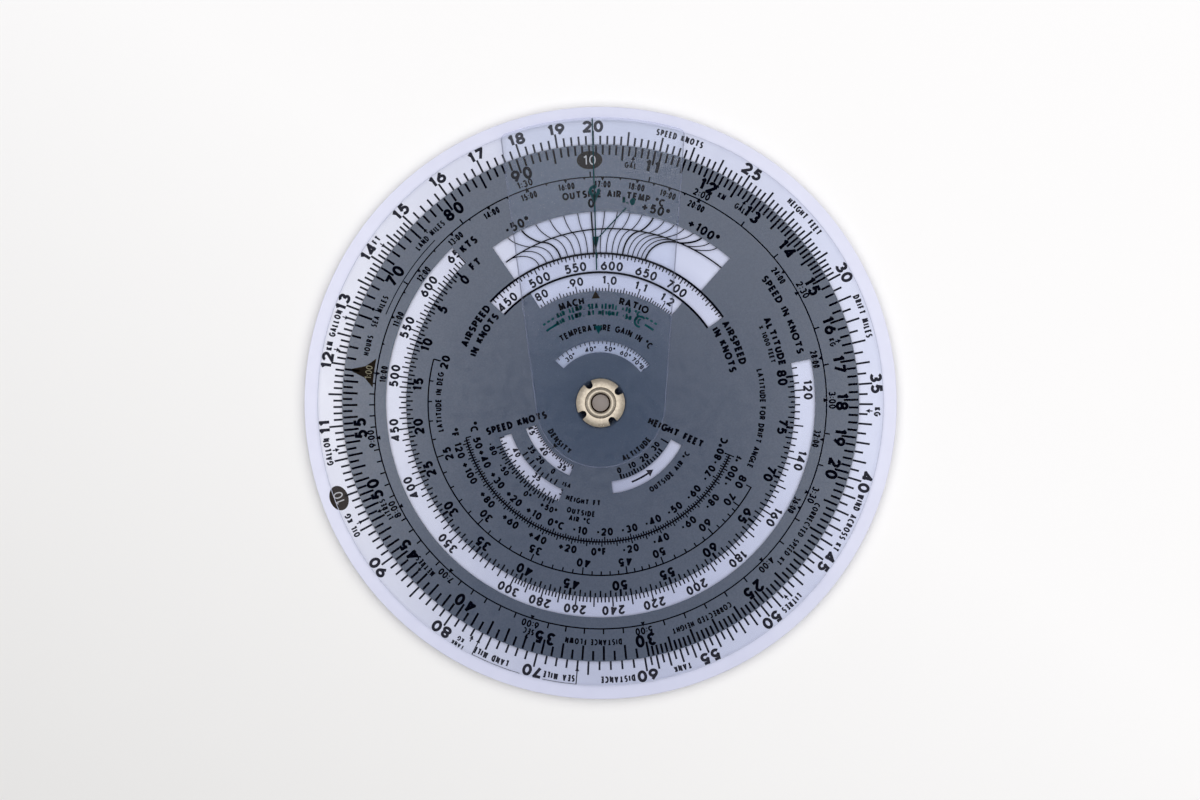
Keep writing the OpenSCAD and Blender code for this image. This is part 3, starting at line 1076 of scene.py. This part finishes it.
# Metal of the eyelet and the spring washer, metallic from a little outside the bore, with painted shade round
# the bore's lip
METAL = (tone(182, 171, 156), tone(200, 189, 173))
LIP_PAINTED_SHADE = (tone(20, 11, 7), tone(34, 20, 14))
BORE_BROWN = (tone(132, 86, 30), tone(146, 98, 40))
METAL_GRAIN = 0.8
BORE_R = 2.15
METALLIC_START = BORE_R + 0.35
METALLIC_END = BORE_R + 0.45
LIP_Z = high("spring_washer")
LIP_H = 0.4


def brass():
    """Pale metal, brown inside the bore, with painted shade round its lip."""
    finish = Finish("eyelet_metal")
    metallic_share = finish.beyond(METALLIC_START, METALLIC_END)
    for name in ("Metallic", "Specular IOR Level"):
        finish.link(metallic_share, finish.shader.inputs[name])
    # Painted shade round the bore's lip
    lip = finish.along(UP, LIP_Z - LIP_H, LIP_Z)
    bore_brown_and_lip_shade = finish.blend(lip, finish.colour(*BORE_BROWN, METAL_GRAIN), finish.colour(*LIP_PAINTED_SHADE, METAL_GRAIN))
    shade = finish.blend(metallic_share, bore_brown_and_lip_shade, finish.colour(*METAL, METAL_GRAIN))
    return finish.plain(shade, (0.16, 0.28), 0.5, 0.12, 0.002)


CURSOR_ROUGH = (0.14, 0.2)
THIN_SURFACE = (1, 0.2, 0.001)


def clear_sheet(name, tint, haze, haze_shares, grain, rough):
    """Clear plastic with an even tint and an uneven haze."""
    finish = Finish(name)
    return finish.clear(tint, haze, finish.between(*haze_shares, grain), rough)


def cursor_sheet():
    """Clear plastic, with a deeper tint round its hub that paints shade, and more haze toward its tip that
    paints sheen.
    """
    finish = Finish("cursor_plastic")
    # Painted shade: a deeper tint round the hub
    tint = finish.blend(finish.beyond(8, 30), tone(244, 247, 250), tone(252.5, 253.4, 255))
    # Painted sheen: more haze toward the tip
    haze_share = finish.along(toward(HAIRLINE), 25, 72, 0.003, 0.027)
    return finish.clear(tint, tone(240, 244, 255), haze_share, CURSOR_ROUGH)


def dirt_film():
    """Dark painted shade that thins out toward its rim."""
    finish = Finish("washer_shade")
    # Painted shade, fading out past the washer's edge
    share = finish.beyond(SHADE_START + 0.4, SHADE_END, 0.88, 0)
    return finish.clear(WHITE, tone(14, 17, 30), share, (0.3, 0.4))


eyelet_metal = brass()
slip_film = mottled("slip_film", tone(232, 232, 226), tone(240, 240, 234), 1, (0.3, 0.5), *THIN_SURFACE)
# Painted shade line along the clear disc's edge
disc_edge_shade = mottled("disc_edge_shade", tone(176, 181, 203), tone(190, 194, 214), 1, (0.2, 0.3), *THIN_SURFACE)
clear_plastic = clear_sheet("clear_plastic", WHITE, tone(238, 239, 251), (0.008, 0.013), 6, (0.15, 0.25))
compass_plastic = clear_sheet(
    "compass_plastic", tone(254, 255, 255), tone(228, 234, 240), (0.02, 0.03), 6, (0.1, 0.2))
# Painted highlight along the cursor's edges
edge_highlight = clear_sheet(
    "edge_highlight", tone(251, 251, 254), tone(190, 197, 220), (0.06, 0.09), 3, CURSOR_ROUGH)
cursor_plastic = cursor_sheet()
washer_shade = dirt_film()

# What each node is made of. The slip washers, which aren't listed, are film
LOOKS = {
    "base_disc": white_plastic, "calculator_disc": clear_plastic, "calculator_print": grey_print,
    "cursor_arm": cursor_plastic, "wind_disc": wind_plastic, "compass_disc": compass_plastic,
    "eyelet": eyelet_metal, "spring_washer": eyelet_metal,
}
for name, piece in nodes.items():
    piece.data.materials.clear()
    piece.data.materials.append(LOOKS.get(name, slip_film))

base_ink.piece("base_scales", "base", base_black)
base_brown.piece("base_badge", "base", base_brown_ink)
base_pale.piece("base_badge_number", "base", badge_pale)
base_rear.piece("base_rear_scale", "base", base_black)
disc_ink.piece("calculator_scales", "calculator", disc_black)
disc_brown.piece("calculator_badges", "calculator", disc_brown_ink)
disc_pale.piece("calculator_badge_numbers", "calculator", badge_pale)
disc_tan.piece("calculator_hour", "calculator", badge_tan)
sheet_ink.piece("temperature_curves", "calculator", disc_black)
edge("calculator_disc", DISC_EDGE_W).piece("calculator_edge_shade", "calculator", disc_edge_shade)
cursor_ink.piece("cursor_marks", "cursor", green_ink)
# Painted shade and shadow of the spring washer
cursor_painted_shade.piece("cursor_painted_shade", "cursor", washer_shade)
edge("cursor_arm", CURSOR_EDGE_W).piece("cursor_edge_highlight", "cursor", edge_highlight)
wind_rear.piece("wind_grid", "wind", base_black)
compass_rear.piece("compass_ring", "compass", green_ink)


# Stage. The table's radius is in metres
TABLE_R = 1.3
# Painted shade, darker toward the front left corner
TABLE_PAINTED_SHADE_TONES = ((0, tone(231, 230, 229)), (1, tone(253, 252, 252)))


def table_paint():
    """Pale paint with painted shade that dulls it a little toward the front left corner."""
    paint = Finish("table_paint")
    painted_falloff = paint.ramp(paint.along(toward(34), -175, 20), TABLE_PAINTED_SHADE_TONES)
    return paint.plain(painted_falloff, (0.6, 0.7), 20, 0.5, 0.002)


def stage():
    """Pale round table top."""
    mesh = bpy.data.meshes.new("table_top")
    edge_points = [(*polar(TABLE_R, -i), 0) for i in range(360)]
    mesh.from_pydata(edge_points, [], [range(360)])
    table = bpy.data.objects.new("table_top", mesh)
    bpy.context.scene.collection.objects.link(table)
    mesh.materials.append(table_paint())


# Light: levels of the room and of what metal mirrors of it. Lamps have their size and place in metres
ROOM_LEVEL = 0.2
MIRRORED_LEVELS = (0.6, 1.6)
MIRRORED_FALL = 10
MIRRORED_SIDES = (1.05, 0.5)
LAMP_H = 1.5
LAMP = ("soft_box", (3.6, 3.4), (0.35, 0.4), 51)
# Windows all round, with their watts per square metre, and the nodes that they sheen
WINDOWS = (
    ("window_back", (1.8, 0.84), (0, 0.48), 17), ("window_left", (0.78, 0.28), (-0.53, 0), 38),
    ("window_right", (0.78, 0.36), (0.52, -0.12), 24), ("window_front", (0.25, 0.2), (0.07, -0.17), 5),
)
SHEENED = ("calculator_print", "cursor_arm")


def room():
    """A dim room, white to the camera. Metal mirrors it brighter overhead, dimmer behind and in front."""
    world = bpy.data.worlds.new("room")
    bpy.context.scene.world = world
    world.use_nodes = True
    built = Nodes(world.node_tree)
    background = world.node_tree.nodes["Background"]
    background.inputs["Color"].default_value = WHITE
    way = built.add("ShaderNodeSeparateXYZ", built.add("ShaderNodeTexCoord").outputs["Generated"]).outputs
    overhead = built.ranged(built.maths("POWER", way["Z"], MIRRORED_FALL), 0, 1, *MIRRORED_LEVELS)
    sided = built.ranged(built.maths("ABSOLUTE", way["Y"]), 0, 1, *MIRRORED_SIDES)
    path = built.add("ShaderNodeLightPath").outputs
    mirrored = built.level(path["Is Glossy Ray"], ROOM_LEVEL, built.maths("MULTIPLY", overhead, sided))
    built.link(built.level(path["Is Camera Ray"], mirrored, 1), background.inputs["Strength"])


def lamps():
    """A soft lamp that metal doesn't mirror, and windows that only sheen the grey print and the cursor."""
    lamp = soft_box(*LAMP)
    lamp.visible_glossy = False
    lamp.data.cycles.use_multiple_importance_sampling = False
    sheen = bpy.data.collections.new("sheen")
    for name in SHEENED:
        sheen.objects.link(nodes[name])
    for name, size, place, level in WINDOWS:
        window = soft_box(name, size, place, level * size[0] * size[1])
        window.light_linking.receiver_collection = sheen
        window.visible_diffuse = False


def soft_box(name, size, place, watts):
    """Area lamp that looks straight down."""
    lamp = bpy.data.lights.new(name, "AREA")
    lamp.shape = "RECTANGLE"
    lamp.size, lamp.size_y = size
    lamp.energy = watts
    holder = bpy.data.objects.new(name, lamp)
    holder.location = (*place, LAMP_H)
    bpy.context.scene.collection.objects.link(holder)
    return holder


# Camera, straight above, with the view's width at the height of the clear disc. It sees as far as FAR metres
SENSOR_W = 36
FAR = 20
VIEW_W = 308.5
CAMERA_H = 900
CAMERA_PLACE = (-0.15, 0.75)


def camera():
    lens = bpy.data.cameras.new("camera")
    lens.sensor_width = SENSOR_W
    lens.lens = SENSOR_W * CAMERA_H / VIEW_W
    lens.clip_end = FAR
    height = CAMERA_H + high("calculator_disc")
    holder = bpy.data.objects.new("camera", lens)
    holder.location = (CAMERA_PLACE[0] * MM, CAMERA_PLACE[1] * MM, height * MM)
    bpy.context.scene.collection.objects.link(holder)
    bpy.context.scene.camera = holder


stage()
room()
lamps()
camera()
bpy.context.scene.view_settings.view_transform = "Standard"
